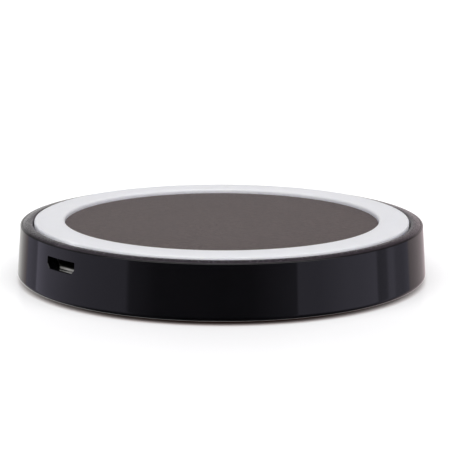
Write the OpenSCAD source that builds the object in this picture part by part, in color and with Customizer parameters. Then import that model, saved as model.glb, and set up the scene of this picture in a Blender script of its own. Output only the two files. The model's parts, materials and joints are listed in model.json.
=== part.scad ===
// Round pad that charges a phone laid on top of it, about 70 mm across and 10 mm high.
// A gloss lower case holds the board and the power socket. A matte plate closes it from above,
// carries the coil underneath and a raised ring on top. Four screws under the feet hold the two.
// The origin is on the resting surface under the middle, +Z is up and the socket faces -Y.

/* [Case] */
// Greatest diameter of the pad, just above its rounded bottom edge
pad_d = 70; // [69.5:0.5:72]
// How much smaller the wall's radius is at its top edge
wall_draft = 0.6; // [0.4:0.05:0.7]
// Thickness of the case floor
floor_t = 1.5; // [1.4:0.1:1.8]
// Radius of the rounded bottom edge
bottom_round = 0.8; // [0.4:0.1:0.8]
// How far the feet hold the case off the surface
foot_stand = 0.55; // [0.3:0.05:0.8]

/* [Plate and ring] */
// Thickness of the plate at its flat centre
disc_t = 1.15; // [1.1:0.05:1.4]
// How far the ring stands above the plate's centre
ring_stand = 0.75; // [0.5:0.05:1.2]
// Inner radius of the ring
ring_in_r = 26.9; // [26.5:0.1:27.2]
// Width of the ring
ring_w = 5.15; // [4.8:0.05:5.2]
// Gap between the ring and the rim around it
ring_gap = 0.2; // [0.1:0.05:0.25]
// Height of the rim's crest above the plate's centre
crest_up = 0.41; // [0.3:0.01:0.5]

/* [Socket] */
// Width of the opening in the wall
port_w = 7; // [6.9:0.05:7.3]
// Height of the opening in the wall
port_h = 1.9; // [1.85:0.05:2.1]
// Distance from the pad's axis to the socket's mouth
mouth_r = 32.5; // [32.2:0.1:32.6]

/* [Inside] */
// Space between the case floor and the board, for the parts under the board
under_board = 2.45; // [2.4:0.05:3]
// Thickness of the circuit board
board_t = 1; // [0.8:0.1:1.2]
// Thickness of the foam tape between the board and the ferrite plate
tape_t = 0.6; // [0.3:0.1:0.8]
// Thickness of the ferrite plate
ferrite_t = 1.1; // [1.1:0.1:1.4]
// Diameter of the coil's stranded wire
wire_d = 1; // [0.8:0.05:1]
// Diameter of the opening inside the coil
coil_in_d = 20.5; // [20:0.5:21]
// Number of turns in the coil
turns = 10; // [8:1:10]
// Thickness of each adhesive film
glue_t = 0.1; // [0.05:0.05:0.15]

/* [Hidden] */
$fn = 96;

// Heights above the resting surface, from the case bottom up through the stack
floor_z = foot_stand + floor_t;
board_z = floor_z + under_board;
board_top = board_z + board_t;
ferrite_z = board_top + tape_t;
coil_z = ferrite_z + ferrite_t;
plate_z = coil_z + wire_d + glue_t;
disc_z = plate_z + disc_t;
ring_z = disc_z + ring_stand;
ledge_z = plate_z + 0.4;
lip_z = disc_z + 0.17;
groove_z = plate_z + 0.6;
into = 0.3;

// Radii of the case wall, its top lip and the plate inside the lip
case_r = pad_d / 2;
wall_top_r = case_r - wall_draft;
inner_r = case_r - 2;
lip_round = 0.24;
plate_r = wall_top_r - 0.35;
plate_draft = 0.3;
slip = 0.05;
rim_in_r = ring_in_r + ring_w + ring_gap;
rim_round = 0.5;

// The four case screws, each under a foot, and the three screws that hold the board
screw_circle_r = 28;
case_screw_angles = [45 : 90 : 315];
board_screw_angles = [90 : 120 : 330];
case_screw_r = 1;
board_screw_r = 0.8;
boss_r = 2.9;
plate_boss_r = 2.3;
post_r = 2;
boss_split_z = board_z - 0.1;
head_seat_z = floor_z + 1.15;
clearance = 0.15;
post_pilot = 2.1;
foot_r = 3.5;
foot_recess = 0.7;
foot_top_z = foot_stand + foot_recess - glue_t;

// The board, and the lights that shine up into the ring
board_r = 31.5;
ferrite_r = 24;
tape_r = 23.5;
light_r = ring_in_r + ring_w / 2;
light_angles = [0, 180];
light_hole_r = 1.2;

// The socket: its steel shell stands on the board with its wide side up
shell_t = 0.3;
shell_w = 7.5;
shell_h = 2.5;
shell_l = 4.5;
flare = 0.35;
socket_z = board_top + shell_h / 2;
shell_y = flare - mouth_r;
port_bevel = [0.65, 0.75];
tongue_w = 3.7;
tongue_t = 0.6;
tongue_z = socket_z + 0.15;
block_y = shell_y + 3.2;
contact_w = 0.3;
contact_t = 0.12;
contact_pitch = 0.65;

// The coil: each half turn is a half ring, and every other one is centred half a pitch away
wire_r = wire_d / 2;
pitch = wire_d + 0.07;
coil_start_r = coil_in_d / 2 + wire_r;
coil_end_r = coil_start_r + turns * pitch;
wire_z = coil_z + wire_r;
slot_z = ferrite_z + wire_r;
slot_y = -1;
tail_y = 2.4;
pad_x = 26.8;

function arc(x, y, r, from, to, steps = 8) =
    [for (i = [0 : steps]) let (a = from + (to - from) * i / steps) [x + r * cos(a), y + r * sin(a)]];

// Outline of a micro-B style socket opening: wide side up, lower corners bevelled
function socket_outline(w, h, bevel) = [
    [-w / 2, h / 2], [w / 2, h / 2], [w / 2, bevel[1] - h / 2],
    [w / 2 - bevel[0], -h / 2], [bevel[0] - w / 2, -h / 2], [-w / 2, bevel[1] - h / 2]
];

module around(angles, r) {
    for (a = angles)
        rotate(a)
            translate([r, 0, 0])
                children();
}

module tube(outer, inner, z0, z1) {
    translate([0, 0, z0])
        difference() {
            cylinder(r = outer, h = z1 - z0);
            translate([0, 0, -into])
                cylinder(r = inner, h = z1 - z0 + 2 * into);
        }
}

// A prism along Y whose section is drawn in X and Z round the socket's middle
module along_socket(y0, y1) {
    translate([0, y0, socket_z])
        rotate([90, 0, 0])
            mirror([0, 0, 1])
                linear_extrude(y1 - y0)
                    children();
}

// Moulded gloss cup: floor, tapered wall with a thin top lip, a ledge for the plate,
// four hollow screw bosses over the foot recesses and three posts for the board
module lower_case() {
    fillet = 0.6;
    outline = concat(
        [[0, foot_stand]],
        arc(case_r - bottom_round, foot_stand + bottom_round, bottom_round, -90, 0),
        arc(wall_top_r - lip_round, lip_z - lip_round, lip_round, 0, 90),
        [[plate_r + slip, lip_z], [plate_r + slip - plate_draft, ledge_z], [inner_r, ledge_z]],
        arc(inner_r - fillet, floor_z + fillet, fillet, 0, -90, 5),
        [[0, floor_z]]
    );
    color("#17171a")
        difference() {
            union() {
                rotate_extrude()
                    polygon(outline);
                around(case_screw_angles, screw_circle_r)
                    translate([0, 0, floor_z - into])
                        cylinder(r = boss_r, h = boss_split_z - floor_z + into);
                around(board_screw_angles, screw_circle_r)
                    translate([0, 0, floor_z - into])
                        cylinder(r = post_r, h = under_board + into);
            }
            around(case_screw_angles, screw_circle_r) {
                cylinder(r = foot_r + clearance, h = foot_stand + foot_recess);
                cylinder(r = 2, h = head_seat_z);
                cylinder(r = case_screw_r + clearance, h = board_z);
            }
            around(board_screw_angles, screw_circle_r)
                translate([0, 0, board_z - post_pilot])
                    cylinder(r = board_screw_r, h = 3);
            along_socket(-case_r - 1, -inner_r + 2)
                polygon(socket_outline(port_w, port_h, port_bevel));
        }
}

// Moulded matte plate: flat centre, a groove for the ring, a softly crowned rim, and underneath
// a spigot that centres it in the wall, four screw bosses and a rib round the coil
module upper_case() {
    edge_round = 0.14;
    crest_z = disc_z + crest_up;
    crown_r = 5;
    crown_x = rim_in_r + rim_round;
    crown_end = asin((plate_r - edge_round - crown_x) / crown_r);
    edge_z = crest_z - crown_r * (1 - cos(crown_end)) - edge_round;
    outline = concat(
        [[0, plate_z], [inner_r - 0.1, plate_z], [inner_r - 0.1, ledge_z]],
        [[plate_r - plate_draft, ledge_z]],
        arc(plate_r - edge_round, edge_z, edge_round, 0, 90 - crown_end, 6),
        arc(crown_x, crest_z - crown_r, crown_r, 90 - crown_end, 90, 6),
        arc(crown_x, crest_z - rim_round, rim_round, 90, 180),
        [[rim_in_r, groove_z], [ring_in_r - 0.04, groove_z], [ring_in_r - 0.04, disc_z], [0, disc_z]]
    );
    color("#6a6563")
        difference() {
            union() {
                rotate_extrude()
                    polygon(outline);
                difference() {
                    tube(inner_r - 0.1, inner_r - 1.1, plate_z - 1, plate_z + into);
                    translate([-5, -case_r, plate_z - 2])
                        cube([10, 6, 2]);
                }
                difference() {
                    tube(coil_end_r + 1.75, coil_end_r + 1, plate_z - 0.8, plate_z + into);
                    translate([0, tail_y - wire_r - 0.2, plate_z - 2])
                        cube([case_r, wire_d + 0.4, 2]);
                }
                around(case_screw_angles, screw_circle_r)
                    translate([0, 0, boss_split_z])
                        cylinder(r = plate_boss_r, h = plate_z - boss_split_z + into);
            }
            around(case_screw_angles, screw_circle_r)
                translate([0, 0, boss_split_z - 1])
                    cylinder(r = case_screw_r, h = plate_z - boss_split_z + 0.5);
            around(light_angles, light_r)
                translate([0, 0, plate_z - 1])
                    cylinder(r = light_hole_r, h = 3);
        }
}

// Translucent white ring, moulded soft so that a phone doesn't slide, bonded into the groove
module grip_ring() {
    top_round = 0.35;
    foot_bevel = 0.1;
    bottom = groove_z + glue_t;
    out_r = ring_in_r + ring_w;
    outline = concat(
        [[ring_in_r + foot_bevel, bottom], [out_r - foot_bevel, bottom], [out_r, bottom + foot_bevel]],
        arc(out_r - top_round, ring_z - top_round, top_round, 0, 90),
        arc(ring_in_r + top_round, ring_z - top_round, top_round, 90, 180),
        [[ring_in_r, bottom + foot_bevel]]
    );
    color("#e6e7ec")
        rotate_extrude()
            polygon(outline);
}

// Adhesive film under the ring, with a hole over each light
module ring_adhesive() {
    color("#d8d4c8")
        difference() {
            tube(ring_in_r + ring_w - 0.4, ring_in_r + 0.4, groove_z, groove_z + glue_t);
            around(light_angles, light_r)
                translate([0, 0, groove_z - 1])
                    cylinder(r = light_hole_r, h = 2);
        }
}

// Pan head screw with its head down at z = 0 and its shank up, and a cross recess in the head
module screw(r, head_r, head_h, length) {
    recess_w = head_r * 0.3;
    tip = r * 0.5;
    difference() {
        union() {
            translate([0, 0, head_h * 0.35])
                cylinder(r = head_r, h = head_h * 0.65);
            cylinder(r1 = head_r * 0.75, r2 = head_r, h = head_h * 0.35);
            cylinder(r = r, h = head_h + length - tip);
            translate([0, 0, head_h + length - tip])
                cylinder(r1 = r, r2 = r * 0.4, h = tip);
        }
        for (turn = [0, 90])
            rotate(turn)
                translate([-head_r * 0.6, -recess_w / 2, -1])
                    cube([head_r * 1.2, recess_w, 1 + head_h * 0.55]);
    }
}

// Four screws, up through the case bosses into the plate's bosses
module case_screws() {
    head_h = 1.3;
    color("silver")
        around(case_screw_angles, screw_circle_r)
            translate([0, 0, head_seat_z - head_h])
                screw(case_screw_r, 1.8, head_h, 4);
}

// Soft foot with a rounded lower edge
module rubber_feet() {
    foot_round = 0.3;
    color("#202022")
        around(case_screw_angles, screw_circle_r)
            rotate_extrude()
                polygon(concat(
                    [[0, 0]],
                    arc(foot_r - foot_round, foot_round, foot_round, -90, 0, 5),
                    [[foot_r, foot_top_z], [0, foot_top_z]]
                ));
}

// Adhesive disc on the back of each foot
module foot_adhesive() {
    color("#d8d4c8")
        around(case_screw_angles, screw_circle_r)
            translate([0, 0, foot_top_z])
                cylinder(r = foot_r - 0.1, h = glue_t);
}

// Round board, notched round the four bosses and drilled for its three screws
module circuit_board() {
    notch_r = boss_r + 0.4;
    color("#1f5a3a")
        difference() {
            translate([0, 0, board_z])
                cylinder(r = board_r, h = board_t);
            around(case_screw_angles, screw_circle_r)
                translate([0, 0, board_z - 1]) {
                    cylinder(r = notch_r, h = board_t + 2);
                    translate([0, -notch_r, 0])
                        cube([case_r, 2 * notch_r, board_t + 2]);
                }
            around(board_screw_angles, screw_circle_r)
                translate([0, 0, board_z - 1])
                    cylinder(r = board_screw_r + clearance, h = board_t + 2);
        }
}

// Three small screws, down through the board into the case's posts
module board_screws() {
    head_h = 0.9;
    color("silver")
        around(board_screw_angles, screw_circle_r)
            translate([0, 0, board_top + head_h])
                mirror([0, 0, 1])
                    screw(board_screw_r, 1.5, head_h, 2.8);
}

// Bent steel shell of the socket: a bevelled tube, a flared lip on each side of its mouth and
// a solder tab on each flank
module socket_shell() {
    inner_w = shell_w - 2 * shell_t;
    inner_h = shell_h - 2 * shell_t;
    lip_w = inner_w - 2 * port_bevel[0];
    lip_rise = 0.04;
    lip_spread = 0.2;
    color("#b9b9bb") {
        along_socket(shell_y, shell_y + shell_l)
            difference() {
                polygon(socket_outline(shell_w, shell_h, port_bevel));
                polygon(socket_outline(inner_w, inner_h, port_bevel));
            }
        for (side = [-1, 1]) {
            translate([-lip_w / 2, shell_y, socket_z])
                rotate([90, 0, 90])
                    linear_extrude(lip_w)
                        polygon([
                            [0, side * inner_h / 2], [0, side * shell_h / 2],
                            [-flare, side * (shell_h / 2 + lip_rise)], [-flare, side * (inner_h / 2 + lip_rise)]
                        ]);
            translate([0, shell_y, socket_z - 0.1])
                linear_extrude(inner_h / 2)
                    polygon([
                        [side * inner_w / 2, 0], [side * shell_w / 2, 0],
                        [side * (shell_w / 2 + lip_spread), -flare], [side * (inner_w / 2 + lip_spread), -flare]
                    ]);
            translate([side * (shell_w / 2 + 0.4) - 0.4, shell_y + 1.6, board_top])
                cube([0.8, 1.6, 0.3]);
            translate([side * (shell_w / 2 + 0.15) - 0.15, shell_y + 1.6, board_top])
                cube([0.3, 1.6, shell_h / 2]);
        }
    }
}

module contact_path() {
    tail_y1 = shell_y + shell_l + 1;
    for (i = [-2 : 2])
        translate([i * contact_pitch - contact_w / 2, 0, 0]) {
            translate([0, shell_y + 0.9, tongue_z - contact_t])
                cube([contact_w, shell_l - 0.9 + contact_t, contact_t]);
            translate([0, shell_y + shell_l, board_top])
                cube([contact_w, contact_t, tongue_z - board_top]);
            translate([0, shell_y + shell_l, board_top])
                cube([contact_w, tail_y1 - shell_y - shell_l, contact_t]);
        }
}

// Black moulding in the shell: a rear block and the tongue that carries the contacts
module socket_insulator() {
    color("#141414")
        difference() {
            union() {
                along_socket(block_y, shell_y + shell_l)
                    polygon(socket_outline(shell_w - 2 * shell_t, shell_h - 2 * shell_t, port_bevel));
                translate([-tongue_w / 2, shell_y + 0.7, tongue_z])
                    cube([tongue_w, block_y - shell_y, tongue_t]);
            }
            contact_path();
        }
}

// Five plated contacts under the tongue, each bent down to a tail on the board
module socket_contacts() {
    color("gold")
        contact_path();
}

// A straight piece of wire from one point to another, with a round end at the far point
module wire_to(a, b) {
    v = b - a;
    translate(a)
        rotate([0, acos(v[2] / norm(v)), atan2(v[1], v[0])])
            cylinder(r = wire_r, h = norm(v));
    translate(b)
        sphere(r = wire_r);
}

module wire_run(points) {
    for (i = [1 : len(points) - 2])
        wire_to(points[i - 1], points[i]);
    last = len(points) - 1;
    v = points[last] - points[last - 1];
    translate(points[last])
        cylinder(r = wire_r, h = norm(v));
}

// The inner end runs out under the turns in the ferrite's slot, the outer end over its edge
module coil_tails() {
    wire_run([
        [coil_start_r, 0, wire_z], [coil_start_r, slot_y, wire_z], [coil_start_r, slot_y, slot_z],
        [pad_x, slot_y, slot_z], [pad_x, slot_y, board_top]
    ]);
    wire_run([
        [coil_end_r, 0, wire_z], [coil_end_r, tail_y, wire_z],
        [pad_x, tail_y, wire_z], [pad_x, tail_y, board_top]
    ]);
}

// Flat spiral of stranded wire, one layer thick, with its two ends led to the board
module power_coil() {
    color("#b4693c") {
        for (half = [0 : 2 * turns - 1])
            translate([(half % 2) * pitch / 2, 0, wire_z])
                rotate((half % 2) * 180)
                    rotate_extrude(angle = 180)
                        translate([coil_start_r + half * pitch / 2, 0])
                            circle(r = wire_r);
        coil_tails();
    }
}

// Solder cone round each end of the coil
module coil_solder() {
    color("#c8c8c8")
        difference() {
            for (y = [slot_y, tail_y])
                translate([pad_x, y, board_top])
                    cylinder(r1 = 1.3, r2 = 0.7, h = 0.45);
            coil_tails();
        }
}

// Sintered ferrite disc that keeps the field off the board, slotted for the inner end
module ferrite_plate() {
    color("#3a3a3d")
        difference() {
            translate([0, 0, ferrite_z])
                cylinder(r = ferrite_r, h = ferrite_t);
            translate([coil_start_r - 1.2, slot_y - wire_r - 0.05, ferrite_z - 1])
                cube([case_r, wire_d + 0.1, ferrite_t + 2]);
        }
}

// Adhesive film between the coil and the plate
module coil_adhesive() {
    color("#d8d4c8")
        tube(coil_end_r + 0.3, coil_in_d / 2, plate_z - glue_t, plate_z);
}

// Foam tape that presses the ferrite plate up against the coil
module core_tape() {
    color("#e8e4da")
        tube(tape_r, 6, board_top, ferrite_z);
}

// A package on the underside of the board, centred at x, y
module under(x, y, size) {
    translate([x - size[0] / 2, y - size[1] / 2, board_z - size[2]])
        cube(size);
}

// Where the parts under the board go
amplifier_at = [-13, 6];
amplifier_size = [4.9, 3.9, 1.5];
regulator_at = [-13, -5];
regulator_size = [4.5, 2.5, 1.5];
resistor_size = [1.6, 0.8, 0.45];
resistor_places = [for (x = [-6, 6], row = [-2.5 : 1 : 2.5]) [x, row * 2.2, board_z]];
filter_size = [3.2, 1.6, 1.6];
filter_places = [for (row = [0 : 3]) [-11 + row * 5, -13, board_z]];
shunt_size = [6.3, 3.2, 0.6];
shunt_place = [12, -13, board_z];
resonant_size = [3.2, 2.5, 2];
resonant_angles = [150 : 7.5 : 172.5];
resonant_r = 27.4;
led_size = [2, 1.25, 0.8];

// Body of a part that lies along X between two end terminals, hanging from z = 0
module chip_body(size) {
    cap = size[0] * 0.16;
    translate([cap - size[0] / 2, -size[1] / 2, -size[2]])
        cube([size[0] - 2 * cap, size[1], size[2]]);
}

// The two tinned ends of such a part
module chip_ends(size) {
    cap = size[0] * 0.16;
    for (side = [0, 1])
        translate([side * (size[0] - cap) - size[0] / 2, -size[1] / 2, -size[2]])
            cube([cap, size[1], size[2]]);
}

module at_places(places) {
    for (p = places)
        translate(p)
            children();
}

// Turns a hanging part over onto the top of the board, its length along the radius or across it
module on_top(angles, r, across = false) {
    around(angles, r)
        translate([0, 0, board_top])
            rotate([180, 0, across ? 90 : 0])
                children();
}

// Microcontroller that drives the coil and reads the phone's answers, in a leadless package
module controller_chip() {
    color("#1b1b1d")
        difference() {
            under(0, 0, [6, 6, 0.9]);
            translate([-2.2, 2.2, board_z - 1.1])
                cylinder(r = 0.35, h = 0.3);
        }
}

// Amplifier for the phone's signal, in an eight lead package
module signal_amplifier() {
    color("#1b1b1d")
        translate([0, 0, -0.1])
            under(amplifier_at[0], amplifier_at[1], amplifier_size - [0, 0, 0.1]);
}

// Regulator that feeds the controller
module voltage_regulator() {
    color("#1b1b1d")
        under(regulator_at[0], regulator_at[1], regulator_size);
}

// Bent lead in profile: out of the package's side, down and flat on the board
module bent_lead(width) {
    t = 0.2;
    rotate([90, 0, 0])
        translate([0, 0, -width / 2])
            linear_extrude(width)
                polygon([
                    [0, -0.8], [0.45, -0.8], [0.65, -t], [1.1, -t], [1.1, 0],
                    [0.5, 0], [0.3, -0.8 + t], [0, -0.8 + t]
                ]);
}

// Leads of the amplifier and the regulator
module chip_leads() {
    color("#c8c8c8") {
        for (i = [-1.5 : 1 : 1.5], side = [-1, 1])
            translate([amplifier_at[0] + i * 1.27, amplifier_at[1] + side * amplifier_size[1] / 2, board_z])
                rotate(side * 90)
                    bent_lead(0.4);
        for (i = [-1 : 1])
            translate([regulator_at[0] + i * 1.5, regulator_at[1] - regulator_size[1] / 2 - 0.9, board_z - 0.4])
                translate([-0.25, 0, 0])
                    cube([0.5, 0.9, 0.4]);
    }
}

// Four power transistors that switch the coil
module bridge_transistors() {
    color("#1b1b1d")
        for (x = [12.5, 17], y = [-2.5, 2.5])
            under(x, y, [3.3, 3.3, 0.8]);
}

// Four capacitors in series with the coil, at the edge of the board
module resonant_capacitors() {
    color("#8a6a4a")
        on_top(resonant_angles, resonant_r)
            chip_body(resonant_size);
}

// Capacitors across the supply
module filter_capacitors() {
    color("#8a6a4a")
        at_places(filter_places)
            chip_body(filter_size);
}

module small_resistors() {
    color("#1b1b1d")
        at_places(resistor_places)
            chip_body(resistor_size);
}

// Low resistor through which the coil's current is read
module current_shunt() {
    color("#1b1b1d")
        translate(shunt_place)
            chip_body(shunt_size);
}

// Tinned ends of every capacitor, resistor and light
module end_terminals() {
    color("#c8c8c8") {
        at_places(filter_places)
            chip_ends(filter_size);
        at_places(resistor_places)
            chip_ends(resistor_size);
        translate(shunt_place)
            chip_ends(shunt_size);
        on_top(resonant_angles, resonant_r)
            chip_ends(resonant_size);
        on_top(light_angles, light_r, across = true)
            chip_ends(led_size);
    }
}

// Quartz crystal in its metal can
module clock_crystal() {
    color("#c9c9c4")
        under(0, 7.5, [3.2, 2.5, 0.8]);
}

// Two lights on the board, under the holes in the plate
module indicator_leds() {
    color("#f3efd8")
        on_top(light_angles, light_r, across = true)
            chip_body(led_size);
}

lower_case();
upper_case();
grip_ring();
ring_adhesive();
case_screws();
rubber_feet();
foot_adhesive();
circuit_board();
board_screws();
socket_shell();
socket_insulator();
socket_contacts();
power_coil();
coil_solder();
ferrite_plate();
coil_adhesive();
core_tape();
controller_chip();
signal_amplifier();
voltage_regulator();
chip_leads();
bridge_transistors();
resonant_capacitors();
filter_capacitors();
small_resistors();
current_shunt();
end_terminals();
clock_crystal();
indicator_leds();
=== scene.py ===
import math

import bmesh
import bpy
from mathutils import Matrix, Vector
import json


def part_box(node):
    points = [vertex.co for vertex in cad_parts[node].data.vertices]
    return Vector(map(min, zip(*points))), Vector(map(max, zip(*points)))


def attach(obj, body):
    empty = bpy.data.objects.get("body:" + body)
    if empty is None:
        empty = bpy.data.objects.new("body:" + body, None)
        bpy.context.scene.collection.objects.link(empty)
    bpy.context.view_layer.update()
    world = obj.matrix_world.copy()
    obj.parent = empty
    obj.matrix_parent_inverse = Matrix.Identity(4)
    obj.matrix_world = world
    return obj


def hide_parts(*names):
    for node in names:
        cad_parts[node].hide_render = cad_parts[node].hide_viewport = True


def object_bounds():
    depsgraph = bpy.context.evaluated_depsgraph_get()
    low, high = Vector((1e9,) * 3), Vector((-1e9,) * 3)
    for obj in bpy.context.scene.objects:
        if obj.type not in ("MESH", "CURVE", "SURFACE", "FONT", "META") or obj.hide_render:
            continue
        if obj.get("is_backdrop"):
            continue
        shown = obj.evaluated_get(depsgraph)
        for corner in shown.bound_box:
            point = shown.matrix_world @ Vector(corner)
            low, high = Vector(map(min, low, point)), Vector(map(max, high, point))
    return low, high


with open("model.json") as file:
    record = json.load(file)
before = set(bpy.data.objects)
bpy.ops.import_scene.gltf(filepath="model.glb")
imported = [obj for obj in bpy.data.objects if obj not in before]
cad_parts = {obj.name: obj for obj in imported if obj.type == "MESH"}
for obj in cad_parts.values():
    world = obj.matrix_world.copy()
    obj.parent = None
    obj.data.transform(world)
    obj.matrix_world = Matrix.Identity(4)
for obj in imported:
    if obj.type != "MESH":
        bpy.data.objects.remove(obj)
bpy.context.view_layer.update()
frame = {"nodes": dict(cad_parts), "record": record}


# Lower case: a cup injection moulded in black, polished ABS. Its wall leans in towards the top and ends
# in a thin lip. Four hollow bosses stand over the foot recesses, three posts carry the board, and the
# socket is reached through a bevelled opening in the wall.
mm = 0.001


def arc(x, z, radius, start, end, steps=10):
    """Points along an arc of a turned outline, between two angles in degrees."""
    angles = [math.radians(start + (end - start) * i / steps) for i in range(steps + 1)]
    return [(x + radius * math.cos(a), z + radius * math.sin(a)) for a in angles]


def shaded(mesh, sharp_above=30):
    """Shades a mesh smooth, except across edges sharper than the angle in degrees."""
    for polygon in mesh.polygons:
        polygon.use_smooth = True
    mesh.set_sharp_from_angle(angle=math.radians(sharp_above))


def piece_from(name, mesh):
    """A piece of the pad from a mesh."""
    shaded(mesh)
    piece = bpy.data.objects.new(name, mesh)
    bpy.context.scene.collection.objects.link(piece)
    return piece


def turned(name, outline, around=96, centre=(0, 0)):
    """A solid of revolution from a closed outline of (radius, height) points."""
    mesh = bpy.data.meshes.new(name)
    shape = bmesh.new()
    rings = []
    for radius, height in outline:
        if radius < 1e-9:
            rings.append([shape.verts.new((centre[0], centre[1], height))] * around)
            continue
        turns = [2 * math.pi * i / around for i in range(around)]
        rings.append([
            shape.verts.new((centre[0] + radius * math.cos(t), centre[1] + radius * math.sin(t), height))
            for t in turns
        ])
    for near, far in zip(rings, rings[1:] + rings[:1]):
        for i in range(around):
            j = (i + 1) % around
            corners = list(dict.fromkeys([near[i], near[j], far[j], far[i]]))
            if len(corners) > 2:
                shape.faces.new(corners)
    bmesh.ops.recalc_face_normals(shape, faces=shape.faces)
    shape.to_mesh(mesh)
    shape.free()
    return piece_from(name, mesh)


def shaped(piece, tool, operation="DIFFERENCE"):
    """Cuts a tool out of a piece, or adds it to the piece, and takes the tool away."""
    step = piece.modifiers.new("step", "BOOLEAN")
    step.operation = operation
    step.solver = "EXACT"
    step.object = tool
    bpy.context.view_layer.update()
    made = bpy.data.meshes.new_from_object(piece.evaluated_get(bpy.context.evaluated_depsgraph_get()))
    piece.modifiers.clear()
    piece.data = made
    bpy.data.objects.remove(tool)
    return piece


def rod(radius, low, high, centre=(0, 0), around=64):
    """A plain round tool for cutting or adding, upright, between two heights."""
    return turned("tool", [(0, low), (radius, low), (radius, high), (0, high)], around, centre)


def polar(radius, degrees):
    """The point at a radius and a turn about the pad's axis."""
    return (radius * math.cos(math.radians(degrees)), radius * math.sin(math.radians(degrees)))


def lofted(name, rows, closed_ends=True):
    """A skin over rows of points, each row a closed loop with the same count."""
    mesh = bpy.data.meshes.new(name)
    shape = bmesh.new()
    loops = [[shape.verts.new(point) for point in row] for row in rows]
    for near, far in zip(loops, loops[1:]):
        for i in range(len(near)):
            j = (i + 1) % len(near)
            shape.faces.new((near[i], near[j], far[j], far[i]))
    if closed_ends:
        shape.faces.new(loops[0])
        shape.faces.new(loops[-1])
    bmesh.ops.recalc_face_normals(shape, faces=shape.faces)
    shape.to_mesh(mesh)
    shape.free()
    return piece_from(name, mesh)


def rounded(corners, radii, steps=6):
    """The closed outline through the corners, each turned into an arc of its own radius."""
    outline = []
    for i, (corner, radius) in enumerate(zip(corners, radii)):
        here = Vector(corner)
        back = (Vector(corners[i - 1]) - here).normalized()
        ahead = (Vector(corners[(i + 1) % len(corners)]) - here).normalized()
        half = math.acos(max(-1, min(1, back.dot(ahead)))) / 2
        middle = here + (back + ahead).normalized() * radius / math.sin(half)
        start = here + back * radius / math.tan(half) - middle
        end = here + ahead * radius / math.tan(half) - middle
        sweep = start.angle_signed(end)
        for k in range(steps + 1):
            turn = Matrix.Rotation(-sweep * k / steps, 2)
            outline.append(tuple(middle + turn @ start))
    return outline


def socket_outline(width, height, spread=0, radius=0.1 * mm):
    """The socket's section in X and Z: wide side up, lower corners bevelled, grown by spread."""
    bevel_x, bevel_z = 0.65 * mm, 0.75 * mm
    bevel_spread = 0.4 * spread
    w, h = width / 2 + spread, height / 2 + spread
    half = [(w, h), (w, bevel_z - h + bevel_spread), (w - bevel_x - bevel_spread, -h)]
    corners = half + [(-x, z) for x, z in reversed(half)]
    return rounded(corners, [radius + spread / 2] * 6)


case_low, case_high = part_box("lower_case")
case_r = case_high.x
wall_top_r = case_r - 0.6 * mm
inner_r = case_r - 2 * mm
bottom_round, inner_round = 0.8 * mm, 0.6 * mm
lip_round, lip_fall, lip_slope = 0.09 * mm, 0.05 * mm, 13
floor_top = case_low.z + 1.5 * mm
ledge = case_high.z - 0.92 * mm
plate_r = wall_top_r - 0.35 * mm
plate_draft = 0.3 * mm
plate_gap = 0.05 * mm
screw_circle = 28 * mm
screw_turns = [45, 135, 225, 315]
post_turns = [90, 210, 330]
board_low, board_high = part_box("circuit_board")
boss_r, boss_top = 2.9 * mm, board_low.z - 0.1 * mm
head_r, shank_r = 2 * mm, 1.15 * mm
head_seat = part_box("case_screws")[0].z + 1.3 * mm
post_r, pilot_r, pilot_depth = 2 * mm, 0.8 * mm, 2.1 * mm
foot_r = 3.5 * mm
recess_r, recess_top = foot_r + 0.15 * mm, case_low.z + 0.7 * mm
root = 0.4 * mm

wall_low = case_low.z + bottom_round
wall_high = case_high.z - lip_round - lip_fall
case = turned(
    "gloss_case",
    [(0, case_low.z), (case_r / 2, case_low.z)]
    + arc(case_r - bottom_round, wall_low, bottom_round, -90, 0, 14)
    + arc(wall_top_r - lip_round, wall_high, lip_round, 0, 90 - lip_slope)
    + [(plate_r + plate_gap, case_high.z), (plate_r + plate_gap - plate_draft, ledge), (inner_r, ledge)]
    + arc(inner_r - inner_round, floor_top + inner_round, inner_round, 0, -90)
    + [(0, floor_top)],
    around=360,
)
for turn in screw_turns:
    spot = polar(screw_circle, turn)
    shaped(case, rod(boss_r, floor_top - root, boss_top, spot), "UNION")
    bore = [(0, -mm), (recess_r, -mm), (recess_r, recess_top), (head_r, recess_top)]
    bore += [(head_r, head_seat), (shank_r, head_seat), (shank_r, boss_top + mm), (0, boss_top + mm)]
    shaped(case, turned("tool", bore, 64, spot))
for turn in post_turns:
    spot = polar(screw_circle, turn)
    shaped(case, rod(post_r, floor_top - root, board_low.z, spot), "UNION")
    shaped(case, rod(pilot_r, board_low.z - pilot_depth, board_low.z + mm, spot, 32))


def wall_y(x, z):
    """Where the outside of the wall is, straight out towards the socket's side."""
    radius = case_r + (wall_top_r - case_r) * (z - wall_low) / (wall_high - wall_low)
    return -math.sqrt(radius * radius - x * x)


socket_z = board_high.z + 1.25 * mm
port_w, port_h = 7 * mm, 1.9 * mm
port_edge, port_end = 0.09 * mm, 2.5 * mm
port_front, port_back, port_step = 0.35 * mm, 0.6 * mm, 0.12 * mm


def open_wall(rows):
    """Cuts the socket's opening, from rows of how much it is grown and how deep in the wall it is."""
    skin = []
    for spread, depth in rows:
        outline = socket_outline(port_w, port_h, spread)
        skin.append([(x, wall_y(x, socket_z + z) + depth, socket_z + z) for x, z in outline])
    shaped(case, lofted("tool", skin))


# The opening's edge is rounded where the mould's core met the wall, and behind it the opening widens
turns = [math.radians(t) for t in range(24, 91, 11)]
rounding = [(port_edge * (1 - math.sin(t)), port_edge * (1 - math.cos(t))) for t in turns]
open_wall([(port_edge * 0.6, -0.8 * mm), *rounding, (0, port_end)])
open_wall([(0, port_front), (port_step, port_back), (port_step, port_end)])


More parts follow.
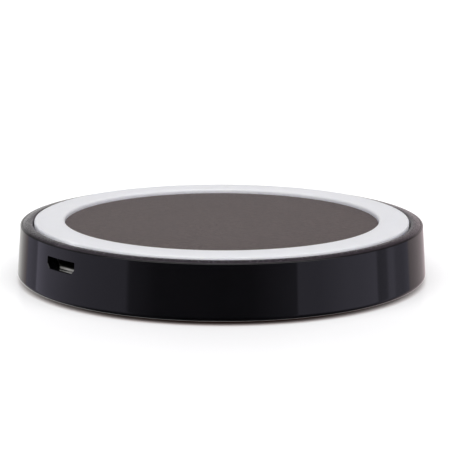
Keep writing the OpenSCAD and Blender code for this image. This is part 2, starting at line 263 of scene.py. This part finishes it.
def follow_wall(piece):
    """Gives the wall's faces the normals of the true cone, so that reflections run straight across them."""
    mesh = piece.data
    shaded(mesh)
    lean = math.atan2(case_r - wall_top_r, wall_high - wall_low)
    normals = [Vector(corner.vector) for corner in mesh.corner_normals]

    def on_cone(place):
        outward = Vector((place.x, place.y, 0)).normalized()
        return outward * math.cos(lean) + Vector((0, 0, math.sin(lean)))

    for polygon in mesh.polygons:
        outside = Vector(polygon.center.xy).length > inner_r + mm
        if outside and polygon.normal.dot(on_cone(polygon.center)) > 0.9998:
            for corner in polygon.loop_indices:
                normals[corner] = on_cone(mesh.vertices[mesh.loops[corner].vertex_index].co)
    mesh.normals_split_custom_set(normals)


follow_wall(case)


class Value:
    """An output of a finish's nodes. Python's operators on it add Math nodes."""

    def __init__(self, nodes, socket):
        self.nodes, self.socket = nodes, socket

    def combine(self, operation, first, second):
        return self.nodes.add("ShaderNodeMath", {"operation": operation}, {0: first, 1: second})

    def __add__(self, other):
        return self.combine("ADD", self, other)

    def __sub__(self, other):
        return self.combine("SUBTRACT", self, other)

    def __rsub__(self, other):
        return self.combine("SUBTRACT", other, self)

    def __mul__(self, other):
        return self.combine("MULTIPLY", self, other)

    def __truediv__(self, other):
        return self.combine("DIVIDE", self, other)

    def __gt__(self, other):
        return self.combine("GREATER_THAN", self, other)

    __radd__ = __add__
    __rmul__ = __mul__


class Nodes:
    """The nodes of one finish, or of the studio's surroundings."""

    def __init__(self, tree):
        self.tree = tree
        tree.nodes.clear()

    def add(self, kind, settings=None, sockets=None, output=0):
        """Adds a node: its settings are made first, then its sockets are set or linked."""
        node = self.tree.nodes.new(kind)
        for key, value in (settings or {}).items():
            if key == "stops":
                for place, stop in enumerate(value):
                    ramp = node.color_ramp.elements
                    step = ramp[place] if place < 2 else ramp.new(stop[0])
                    step.position = stop[0]
                    step.color = (*([stop[1]] * 3 if isinstance(stop[1], float) else stop[1]), 1)
            else:
                setattr(node, key, value)
        for key, value in (sockets or {}).items():
            if isinstance(value, Value):
                self.tree.links.new(value.socket, node.inputs[key])
            else:
                node.inputs[key].default_value = value
        return Value(self, node.outputs[output]) if node.outputs else None

    def place(self):
        """Where a point is on the pad, in metres."""
        return self.add("ShaderNodeTexCoord", output=3)

    def noise(self, scale, detail=2.0, stretch=(1, 1, 1), roughness=0.5):
        where = self.add("ShaderNodeMapping", {}, {"Vector": self.place(), "Scale": stretch})
        sockets = {"Vector": where, "Scale": scale, "Detail": detail, "Roughness": roughness}
        return self.add("ShaderNodeTexNoise", {}, sockets)

    def span(self, value, low, high, start=0.0, end=1.0):
        """The value, stretched from its own range to another and held at both ends."""
        sockets = {0: value, 1: low, 2: high, 3: start, 4: end}
        return self.add("ShaderNodeMapRange", {"clamp": True}, sockets)

    def blend(self, factor, first, second):
        """A colour between two, each a tuple or the output of a node."""
        sockets = {0: factor, 6: (*first, 1) if isinstance(first, tuple) else first}
        sockets[7] = (*second, 1) if isinstance(second, tuple) else second
        return self.add("ShaderNodeMix", {"data_type": "RGBA"}, sockets, output=2)

    def bump(self, height, distance, strength=1.0):
        sockets = {"Height": height, "Distance": distance, "Strength": strength}
        return self.add("ShaderNodeBump", {}, sockets)

    def vector_maths(self, operation, first, second=(0, 0, 0), output=0):
        settings = {"operation": operation}
        return self.add("ShaderNodeVectorMath", settings, {0: first, 1: second}, output)


def finish(name, make):
    """A material whose surface is what make() sets on the shader, as a dict of its sockets."""
    material = bpy.data.materials.new(name)
    material.use_nodes = True
    nodes = Nodes(material.node_tree)
    shader = nodes.add("ShaderNodeBsdfPrincipled", {}, make(nodes))
    nodes.add("ShaderNodeOutputMaterial", {}, {"Surface": shader})
    return material


def wear(piece, material):
    """Puts a finish on a piece, and makes the piece ride with the pad."""
    piece.data.materials.clear()
    piece.data.materials.append(material)
    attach(piece, "root")


def polished_black(nodes):
    haze = nodes.noise(260, 3)
    sink = nodes.noise(90, 1)
    return {
        "Base Color": nodes.blend(haze, (0.0014, 0.0014, 0.0016), (0.0024, 0.0023, 0.0027)),
        "Roughness": 0.012 + 0.02 * haze,
        "Normal": nodes.bump(sink, 0.01 * mm, 0.25),
        "IOR": 1.5,
    }


wear(case, finish("polished_black", polished_black))
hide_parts("lower_case")


# Feet: four soft black rubber discs, moulded with a rounded lower edge and stuck into the recesses,
# where they hide the case screws. A thin film of adhesive holds each one.
foot_low, foot_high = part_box("rubber_feet")
foot_round = 0.3 * mm
dimple_r, dimple_depth = 1.6 * mm, 0.06 * mm


def rubber(nodes):
    speckle = nodes.noise(4000, 2)
    return {
        "Base Color": nodes.blend(speckle, (0.012, 0.011, 0.011), (0.022, 0.021, 0.021)),
        "Roughness": 0.75 + 0.15 * speckle,
        "Normal": nodes.bump(speckle, 0.02 * mm, 0.4),
    }


rubber_finish = finish("foot_rubber", rubber)
for number, turn in enumerate(screw_turns):
    outline = [(0, foot_low.z + dimple_depth), (dimple_r, foot_low.z + dimple_depth)]
    outline += [(dimple_r + 0.15 * mm, foot_low.z)]
    outline += arc(foot_r - foot_round, foot_low.z + foot_round, foot_round, -90, 0, 8)
    outline += [(foot_r, foot_high.z), (0, foot_high.z)]
    foot = turned(f"foot_{number + 1}", outline, 96, polar(screw_circle, turn))
    wear(foot, rubber_finish)
    if number == 0:
        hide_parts("rubber_feet")


# Socket shell: tin plated steel sheet bent round into a tube, with a lip flared out on each of its four
# sides. It stands on the board with its mouth just behind the opening in the wall.
shell_low, shell_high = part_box("socket_shell")
sheet = 0.3 * mm
shell_w, shell_h = 7.5 * mm, 2.5 * mm
mouth_y = shell_low.y
tube_front = mouth_y + 0.35 * mm
tube_back = shell_high.y
bend_r, bend_angle, bend_steps = 0.42 * mm, 52, 8
tab_reach, tab_t = (shell_w / 2 + 0.4 * mm) * 1.08, 0.28 * mm
tab_front, tab_back = tube_front + 1.6 * mm, tube_front + 3.2 * mm


def sheet_tube(name, front, back):
    """The shell's tube, open at both ends."""
    outer = socket_outline(shell_w, shell_h, 0, 0.35 * mm)
    inner = socket_outline(shell_w - 2 * sheet, shell_h - 2 * sheet, 0, 0.12 * mm)
    rows = []
    for outline, y in ((outer, back), (outer, front), (inner, front), (inner, back)):
        rows.append([(x, y, socket_z + z) for x, z in outline])
    tube = lofted(name, rows + rows[:1], closed_ends=False)
    shape = bmesh.new()
    shape.from_mesh(tube.data)
    bmesh.ops.remove_doubles(shape, verts=shape.verts, dist=1e-7)
    bmesh.ops.recalc_face_normals(shape, faces=shape.faces)
    shape.to_mesh(tube.data)
    shape.free()
    return tube


def flared_lip(across, out, width):
    """A strip of sheet bent outwards at the mouth: out is the way it bends, across its long way."""
    way, start = out[0], Vector((0, tube_front, socket_z)) + out[1]
    rows = []
    for side in (-1, 1):
        inner, outer = [], []
        for k in range(bend_steps + 1):
            t = math.radians(bend_angle) * k / bend_steps
            narrowed = width / 2 * (1 - 0.1 * (k / bend_steps) ** 2)
            place = start + across * side * narrowed + way * bend_r * (1 - math.cos(t))
            inner.append(place - Vector((0, bend_r * math.sin(t), 0)))
            outer.append(inner[-1] + way * sheet * math.cos(t) + Vector((0, sheet * math.sin(t), 0)))
        rows.append(inner + outer[::-1])
    return lofted("tool", rows)


def block(low, high):
    """A plain square tool for cutting or adding, between two corners."""
    corners = [(low[0], low[1]), (high[0], low[1]), (high[0], high[1]), (low[0], high[1])]
    return lofted("tool", [[(x, y, z) for x, y in corners] for z in (low[2], high[2])])


shell = sheet_tube("socket_case", tube_front, tube_back)
sideways, up = Vector((1, 0, 0)), Vector((0, 0, 1))
side_lip_z = up * 0.3 * mm
inner_w, inner_h = shell_w - 2 * sheet, shell_h - 2 * sheet
lips = [
    flared_lip(sideways, (up, up * inner_h / 2), inner_w * 0.86),
    flared_lip(up, (sideways, sideways * inner_w / 2 + side_lip_z), inner_h * 0.42),
    flared_lip(up, (-sideways, -sideways * inner_w / 2 + side_lip_z), inner_h * 0.42),
]
# The lower lip is rolled into a hem, whose front is what shows above the opening's floor
hem_w = inner_w / 2 - 0.6 * mm
hem_low, hem_high = -inner_h / 2 - 0.28 * mm, -inner_h / 2 + 0.08 * mm
hem = [(hem_w, hem_high), (hem_w, hem_low), (-hem_w, hem_low), (-hem_w, hem_high)]
hem = rounded(hem, [0.14 * mm] * 4, 8)
lips.append(lofted("tool", [
    [(x * narrow, y, socket_z + z) for x, z in hem]
    for y, narrow in ((mouth_y, 0.98), (mouth_y + 0.05 * mm, 1), (tube_front + 0.5 * mm, 1))
]))
for side in (-1, 1):
    near, far = sorted((side * shell_w / 2, side * tab_reach))
    lips.append(block((near, tab_front, board_high.z), (far, tab_back, board_high.z + tab_t)))


def joined(name, pieces):
    """Several meshes as one piece, in which each is still its own closed skin."""
    shape = bmesh.new()
    for part in pieces:
        shape.from_mesh(part.data)
        bpy.data.objects.remove(part)
    mesh = bpy.data.meshes.new(name)
    shape.to_mesh(mesh)
    shape.free()
    return piece_from(name, mesh)


shell = joined("socket_case", [shell] + lips)


def tin_plate(nodes):
    scuff = nodes.noise(900, 3, (1, 6, 1))
    bright = nodes.blend(scuff, (0.62, 0.61, 0.58), (0.78, 0.77, 0.74))
    inwards = nodes.add("ShaderNodeSeparateXYZ", {}, {"Vector": nodes.place()}, output=1)
    height = nodes.add("ShaderNodeSeparateXYZ", {}, {"Vector": nodes.place()}, output=2)
    # Painted shade: the tin is coloured dark above the hem's front and deeper in than just behind the
    # mouth, where the socket's inside lies in shade
    painted_shade = nodes.span(height, socket_z - 0.92 * mm, socket_z - 0.84 * mm)
    painted_shade = painted_shade + nodes.span(inwards, mouth_y + 0.06 * mm, mouth_y + 0.25 * mm)
    return {
        "Base Color": nodes.blend(painted_shade, bright, (0.10, 0.10, 0.09)),
        "Metallic": 0.9,
        "Roughness": 0.34 + 0.2 * scuff,
        "Normal": nodes.bump(scuff, 0.01 * mm, 0.3),
    }


wear(shell, finish("tin_plate", tin_plate))
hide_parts("socket_shell")


# Socket moulding: black nylon with glass fibre, a block that closes the back of the shell and a thin
# tongue under its wide side.
block_front = tube_front + 3.2 * mm
slack = 0.02 * mm
tongue_w, tongue_t, tongue_up = 3.7 * mm, 0.6 * mm, 0.15 * mm
tongue_front = tube_front + 0.7 * mm
nose = 0.12 * mm

block_outline = socket_outline(inner_w - slack, inner_h - slack)
moulding = lofted("socket_moulding", [
    [(x, y, socket_z + z) for x, z in block_outline] for y in (block_front, tube_back)
])
tongue_rows = []
for y, shrink in ((tongue_front, nose), (tongue_front + nose, 0), (block_front + 0.2 * mm, 0)):
    w, low, high = tongue_w / 2 - shrink, tongue_up + shrink, tongue_up + tongue_t - shrink
    corners = [(w, high), (w, low), (-w, low), (-w, high)]
    tongue_rows.append([(x, y, socket_z + z) for x, z in rounded(corners, [0.08 * mm] * 4, 3)])
shaped(moulding, lofted("tool", tongue_rows), "UNION")
shaded(moulding.data)


def black_nylon(nodes):
    fibre = nodes.noise(2500, 2)
    return {
        "Base Color": nodes.blend(fibre, (0.006, 0.006, 0.006), (0.013, 0.013, 0.013)),
        "Roughness": 0.5 + 0.15 * fibre,
        "Normal": nodes.bump(fibre, 0.01 * mm, 0.3),
    }


wear(moulding, finish("black_nylon", black_nylon))
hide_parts("socket_insulator")


# Plate: moulded in dark grey ABS with a fine spark textured face. Its rim is softly crowned, the ring's
# groove runs inside it, and below are a spigot, a rib round the coil and four screw bosses.
ring_low, ring_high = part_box("grip_ring")
ring_out_r = ring_high.x
ring_in_r = ring_out_r - 5.15 * mm
disc_top = ring_high.z - 0.75 * mm
groove = ring_low.z - 0.1 * mm
plate_under = groove - 0.6 * mm
rim_in_r = ring_out_r + 0.2 * mm
crest = disc_top + 0.41 * mm
crown_r, crown_x = 3.4 * mm, rim_in_r + 0.5 * mm
edge_r = 0.14 * mm
crown_end = math.degrees(math.asin((plate_r - edge_r - crown_x) / crown_r))
edge_z = crest - crown_r * (1 - math.cos(math.radians(crown_end))) - edge_r
rib_r, rib_t, rib_h = 22.45 * mm, 0.75 * mm, 0.8 * mm
spigot_r = inner_r - 0.1 * mm
plate_boss_r, plate_pilot_r = 2.3 * mm, 1 * mm
light_hole_r = 1.2 * mm

plate = turned(
    "matte_plate",
    [(0, plate_under), (rib_r, plate_under), (rib_r, plate_under - rib_h)]
    + [(rib_r + rib_t, plate_under - rib_h), (rib_r + rib_t, plate_under)]
    + [(spigot_r - mm, plate_under), (spigot_r - mm, plate_under - mm), (spigot_r, plate_under - mm)]
    + [(spigot_r, ledge), (plate_r - plate_draft, ledge)]
    + arc(plate_r - edge_r, edge_z, edge_r, 0, 90 - crown_end, 8)
    + arc(crown_x, crest - crown_r, crown_r, 90 - crown_end, 90, 8)[1:]
    + arc(crown_x, crest - 0.5 * mm, 0.5 * mm, 90, 180, 12)[1:]
    + [(rim_in_r, groove), (ring_in_r - 0.04 * mm, groove)]
    + arc(ring_in_r - 0.09 * mm, disc_top - 0.05 * mm, 0.05 * mm, 0, 90, 4)
    + [(ring_in_r / 2, disc_top), (0, disc_top)],
    around=360,
)
# The spigot is notched over the socket and the rib is notched for the coil's end
shaped(plate, block((-5 * mm, -case_r, plate_under - 2 * mm), (5 * mm, 6 * mm - case_r, plate_under)))
shaped(plate, block((10 * mm, 1.7 * mm, plate_under - 2 * mm), (rib_r + 2 * mm, 3.1 * mm, plate_under)))
for turn in screw_turns:
    spot = polar(screw_circle, turn)
    shaped(plate, rod(plate_boss_r, boss_top, plate_under + 0.2 * mm, spot), "UNION")
    shaped(plate, rod(plate_pilot_r, boss_top - mm, plate_under - 0.5 * mm, spot, 48))
light_circle = (ring_in_r + ring_out_r) / 2
for turn in (0, 180):
    shaped(plate, rod(light_hole_r, plate_under - mm, groove + mm, polar(light_circle, turn), 48))
shaded(plate.data)


def spark_texture(nodes):
    grain = nodes.span(nodes.noise(1400, 4, roughness=0.75), 0.37, 0.63)
    cloud = nodes.noise(140, 2)
    outward = nodes.vector_maths("MULTIPLY", nodes.place(), (1, 1, 0))
    radius = nodes.vector_maths("LENGTH", outward, output=1)
    on_rim = radius > ring_out_r
    disc = nodes.blend(grain, (0.052, 0.037, 0.036), (0.142, 0.115, 0.110))
    disc = nodes.blend(0.3 * cloud, disc, (0.103, 0.081, 0.078))
    rim = nodes.blend(grain, (0.026, 0.020, 0.026), (0.034, 0.027, 0.035))
    shoulder = nodes.span(radius, rim_in_r + 0.4 * mm, plate_r, 0.0, 0.14)
    return {
        "Base Color": nodes.blend(on_rim, disc, rim),
        "Roughness": 0.48 + 0.12 * grain - 0.22 * on_rim - shoulder,
        "Normal": nodes.bump(grain, 0.08 * mm, 0.8 - 0.68 * on_rim),
    }


wear(plate, finish("spark_texture", spark_texture))
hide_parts("upper_case")


# Ring: moulded in soft translucent white rubber and bonded into the groove. The phone rests on its flat
# top, and the lights under it make it glow.
top_round, foot_bevel = 0.35 * mm, 0.1 * mm
ring = turned(
    "grip_ring_white",
    [(ring_in_r + foot_bevel, ring_low.z), (ring_out_r - foot_bevel, ring_low.z)]
    + [(ring_out_r, ring_low.z + foot_bevel)]
    + arc(ring_out_r - top_round, ring_high.z - top_round, top_round, 0, 90, 12)
    + arc(ring_in_r + top_round, ring_high.z - top_round, top_round, 90, 180, 12)
    + [(ring_in_r, ring_low.z + foot_bevel)],
    around=360,
)


def soft_white(nodes):
    cloud = nodes.noise(500, 2)
    grain = nodes.noise(6000, 1)
    return {
        "Base Color": nodes.blend(cloud, (0.84, 0.847, 0.950), (0.87, 0.877, 0.985)),
        "Roughness": 0.56 + 0.1 * grain,
        "Normal": nodes.bump(grain, 0.01 * mm, 0.2),
        "IOR": 1.4,
        "Subsurface Weight": 1.0,
        "Subsurface Radius": (1.8 * mm, 1.8 * mm, 1.9 * mm),
        "Subsurface Scale": 1.0,
    }


wear(ring, finish("soft_white", soft_white))
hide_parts("grip_ring")


# Films and tape: thin acrylic film bonds the ring, the feet and the coil, and a flat ring of pale foam
# presses the ferrite disc up against the coil. Their CAD solids are carried over as they are.
def carried(slot, colour, second, roughness, metallic=0.0, scale=1500):
    """Gives the frame's own nodes that have a slot's material their finish."""

    def make(nodes):
        spread = nodes.noise(scale, 2)
        return {
            "Base Color": nodes.blend(spread, colour, second),
            "Metallic": metallic,
            "Roughness": roughness + 0.12 * spread,
            "Normal": nodes.bump(spread, 0.01 * mm, 0.25),
        }

    material = finish(slot, make)
    for row in frame["record"]["subparts"]:
        if row["material_slot"] == slot:
            node = frame["nodes"][row["node"]]
            node.data.materials.clear()
            node.data.materials.append(material)


carried("adhesive", (0.66, 0.63, 0.55), (0.74, 0.71, 0.63), 0.35)
carried("foam_tape", (0.70, 0.67, 0.60), (0.80, 0.77, 0.70), 0.85, scale=3000)


# Screws: zinc plated steel. Four long ones under the feet hold the two shells together, and three short
# ones hold the board on its posts.
carried("screw_steel", (0.5, 0.5, 0.52), (0.6, 0.6, 0.61), 0.28, 1.0)


# Board: glass fibre laminate under green solder mask, standing on the case's three posts. The socket's
# contacts, soldered to it, are gold plated.
carried("board_laminate", (0.010, 0.085, 0.040), (0.016, 0.11, 0.052), 0.3, scale=700)
carried("contact_plating", (0.80, 0.56, 0.20), (0.88, 0.64, 0.27), 0.22, 1.0)


# Coil: enamelled copper strands wound flat, bonded under the plate, with both ends soldered to the
# board. A disc of sintered ferrite under it keeps the field off the board.
carried("coil_copper", (0.50, 0.20, 0.08), (0.62, 0.27, 0.12), 0.3, 1.0, 2500)
carried("solder", (0.58, 0.58, 0.60), (0.68, 0.68, 0.70), 0.2, 1.0)
carried("ferrite", (0.035, 0.035, 0.038), (0.055, 0.055, 0.058), 0.6)


# Parts on the board: chips, transistors and resistors in black epoxy, brown ceramic capacitors, tinned
# leads and ends, the plated can of the clock crystal, and two lights in pale resin under the ring.
carried("chip_epoxy", (0.010, 0.010, 0.011), (0.020, 0.020, 0.021), 0.45)
carried("capacitor_ceramic", (0.26, 0.16, 0.09), (0.34, 0.22, 0.13), 0.4)
carried("terminal_tin", (0.55, 0.55, 0.56), (0.66, 0.66, 0.66), 0.32, 1.0)
carried("crystal_can", (0.60, 0.58, 0.52), (0.70, 0.68, 0.62), 0.25, 1.0)
carried("led_resin", (0.80, 0.76, 0.52), (0.86, 0.83, 0.62), 0.2)


# Studio: a white table that is lit from below as well as above, inside a light tent whose front is open
# towards the camera and dark. None of it belongs to the pad.
front_turn = math.radians(48.15)
front = Vector((math.sin(front_turn), -math.cos(front_turn), 0))
right = Vector((math.cos(front_turn), math.sin(front_turn), 0))


def flat_disc(name, radius, height):
    """A flat round sheet of the studio, at a height."""
    mesh = bpy.data.meshes.new(name)
    shape = bmesh.new()
    bmesh.ops.create_circle(shape, cap_ends=True, segments=256, radius=radius)
    shape.to_mesh(mesh)
    shape.free()
    disc = bpy.data.objects.new(name, mesh)
    bpy.context.scene.collection.objects.link(disc)
    disc.location.z = height
    disc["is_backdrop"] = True
    return disc


table = flat_disc("table", 4, -0.01 * mm)
table.visible_glossy = False


def glowing_acrylic_with_painted_shadow(nodes):
    out = nodes.vector_maths("LENGTH", nodes.place(), output=1)
    off_middle = nodes.vector_maths("DOT_PRODUCT", nodes.place(), right, output=1)
    side_share_of_painted_light = off_middle * off_middle / (out * out)
    # Painted shadow: the table's glow is taken away close round the pad and grows again out to 60 mm, and
    # painted light raises it off to the pad's left and right
    clear = nodes.span(out, 32.8 * mm, 35.6 * mm)
    glow = 0.46 * clear + nodes.span(out, 36.2 * mm, 60 * mm, 0.0, 0.5) + 0.5 * side_share_of_painted_light * clear
    # Painted shadow: close round the pad the table is coloured reddish brown, and its dim glow there is
    # reddish too
    outside_painted_brown_shadow = nodes.span(out, 33 * mm, 35.4 * mm)
    return {
        "Base Color": nodes.blend(outside_painted_brown_shadow, (0.5, 0.33, 0.29), (0.9, 0.9, 0.9)),
        "Roughness": 0.22,
        "IOR": 1.12,
        "Emission Color": nodes.blend(0.8 * glow, (0.02, 0.004, 0.0), (1.25, 1.25, 1.25)),
        "Emission Strength": 0.3,
    }


table.data.materials.append(finish("glowing_acrylic_with_painted_shadow", glowing_acrylic_with_painted_shadow))


# Painted shadow: a dark reddish brown sheet for the shade under the pad
def painted_shadow_sheet(nodes):
    fibre = nodes.noise(800, 3)
    return {
        "Base Color": nodes.blend(fibre, (0.020, 0.009, 0.008), (0.035, 0.018, 0.016)),
        "Roughness": 0.9,
    }


# A dark reddish brown disc under the pad is a painted shadow: it shows as shade in the gap under the case
# and in the reflection along its rounded bottom edge
shadow_disc = flat_disc("under_pad", 32 * mm, -0.005 * mm)
shadow_disc.data.materials.append(finish("painted_shadow_sheet", painted_shadow_sheet))

world = bpy.data.worlds.new("light_tent")
bpy.context.scene.world = world
world.use_nodes = True
tent = Nodes(world.node_tree)
toward = tent.add("ShaderNodeTexCoord")


def cosine_to(way):
    """How squarely a direction of the tent points along a way."""
    return tent.vector_maths("DOT_PRODUCT", toward, way, output=1)


along_front, along_right, height = cosine_to(front), cosine_to(right), cosine_to((0, 0, 1))
round_turn = along_right.combine("ARCTAN2", along_right, along_front) / (2 * math.pi) + 0.5


def cool(light):
    return (light, 0.955 * light, 1.2 * light)


def warm(light):
    return (light, 0.86 * light, 0.89 * light)


walls = []
white = (1, 1, 1)


def panel(start, end, light, end_light):
    """A stretch of the tent between two turns to the right, in degrees, with its light at each end."""
    walls.extend([(0.5 + start / 360, light), (0.5 + end / 360, end_light)])


# White backdrop with its shaded end, then the left sheet of diffuser, brightest at its far edge
panel(-180, -155, white, (0.75, 0.74, 0.72))
panel(-141, -139, warm(0.35), cool(0.28))
panel(-125.4, -124, cool(0.29), cool(0.6))
panel(-113, -53.4, cool(0.485), cool(0.4))
# Dark room seen through the open front
panel(-51, -36, cool(0.18), cool(0.07))
panel(0, 16, cool(0.048), cool(0.055))
# Right sheet of diffuser, its folded edge, and the backdrop again
panel(40.8, 41.6, cool(0.19), cool(0.46))
panel(54, 72, cool(0.45), cool(0.59))
panel(94, 95.9, cool(0.59), cool(0.3))
panel(103.2, 104.9, cool(0.31), cool(0.49))
panel(109.3, 112.6, cool(0.49), cool(0.33))
panel(120, 126.5, cool(0.265), cool(0.3))
panel(129.5, 150, warm(0.48), warm(0.58))
panel(168, 180, warm(0.75), white)
side = tent.add("ShaderNodeValToRGB", {"stops": walls}, {0: round_turn})

# Low down the tent is dark, a dark gap runs above the sheets, and the roof is white
under = tent.span(height, -0.75, -0.35, 0.08)
low_gap = 0.12 * tent.span(along_right, -0.45, -0.15, 1.0, 0.0)
gap = tent.span(height + low_gap, 0.2, 0.34, 1.0, 0.15)
roof_lean = math.radians(22)
roof_way = front * math.sin(roof_lean) + Vector((0, 0, math.cos(roof_lean)))
roof = tent.span(cosine_to(roof_way), 0.7, 0.85)
sheets = tent.blend(under * gap, (0, 0, 0), side)
lit = tent.blend(roof, sheets, (1.95, 1.95, 1.98))
# Two soft boxes hang to the left and right of the camera
box_rise, box_edge, box_flat = math.radians(40), math.radians(25), math.radians(20)
for turn in (math.radians(-50), math.radians(52)):
    level_way = front * math.cos(turn) + right * math.sin(turn)
    box_way = level_way * math.cos(box_rise) + Vector((0, 0, math.sin(box_rise)))
    in_box = tent.span(cosine_to(box_way), math.cos(box_edge), math.cos(box_flat))
    lit = tent.blend(in_box, lit, (1.95, 1.95, 1.95))

# A narrow lamp shines straight into the socket
lamp = bpy.data.lights.new("socket_lamp", "SPOT")
lamp.energy = 7.0
lamp.spot_size = math.radians(1.1)
lamp.spot_blend = 0.4
lamp.shadow_soft_size = 1.5 * mm
lamp_stand = bpy.data.objects.new("socket_lamp", lamp)
bpy.context.scene.collection.objects.link(lamp_stand)
lamp_stand.location = (40 * mm, -294 * mm, 205 * mm)
lamp_way = Vector((0, mouth_y, socket_z - mm)) - lamp_stand.location
lamp_stand.rotation_euler = lamp_way.to_track_quat("-Z", "Y").to_euler()
lamp_stand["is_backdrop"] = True

seen = tent.add("ShaderNodeLightPath")
shown = tent.blend(seen, lit, (1.0, 1.0, 1.0))
sky = tent.add("ShaderNodeBackground", {}, {"Color": shown, "Strength": 1.0})
tent.add("ShaderNodeOutputWorld", {}, {"Surface": sky})

bpy.context.scene.view_settings.view_transform = "Standard"


# Camera: a telephoto lens 0.3 m from the ring, looking down at it by about eleven degrees and rolled
# very slightly.
distance = 296.4 * mm
elevation, droop = math.radians(11.117), math.radians(0.272)
swing, tilt = math.radians(0.109), math.radians(0.189)
down = elevation + droop
level = front_turn - swing
ahead = Vector((-math.sin(level) * math.cos(down), math.cos(level) * math.cos(down), -math.sin(down)))
across = ahead.cross(Vector((0, 0, 1))).normalized()
upward = across.cross(ahead)
rolled_across = across * math.cos(tilt) + upward * math.sin(tilt)
rolled_upward = upward * math.cos(tilt) - across * math.sin(tilt)
lens = bpy.data.cameras.new("camera")
lens.sensor_width = 36
lens.lens = 137.95
lens.clip_start, lens.clip_end = 0.01, 20
camera = bpy.data.objects.new("camera", lens)
bpy.context.scene.collection.objects.link(camera)
facing = Matrix((rolled_across, rolled_upward, -ahead)).transposed().to_4x4()
eye = front * distance * math.cos(elevation) + Vector((0, 0, ring_high.z + distance * math.sin(elevation)))
camera.matrix_world = Matrix.Translation(eye) @ facing
bpy.context.scene.camera = camera


low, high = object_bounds()
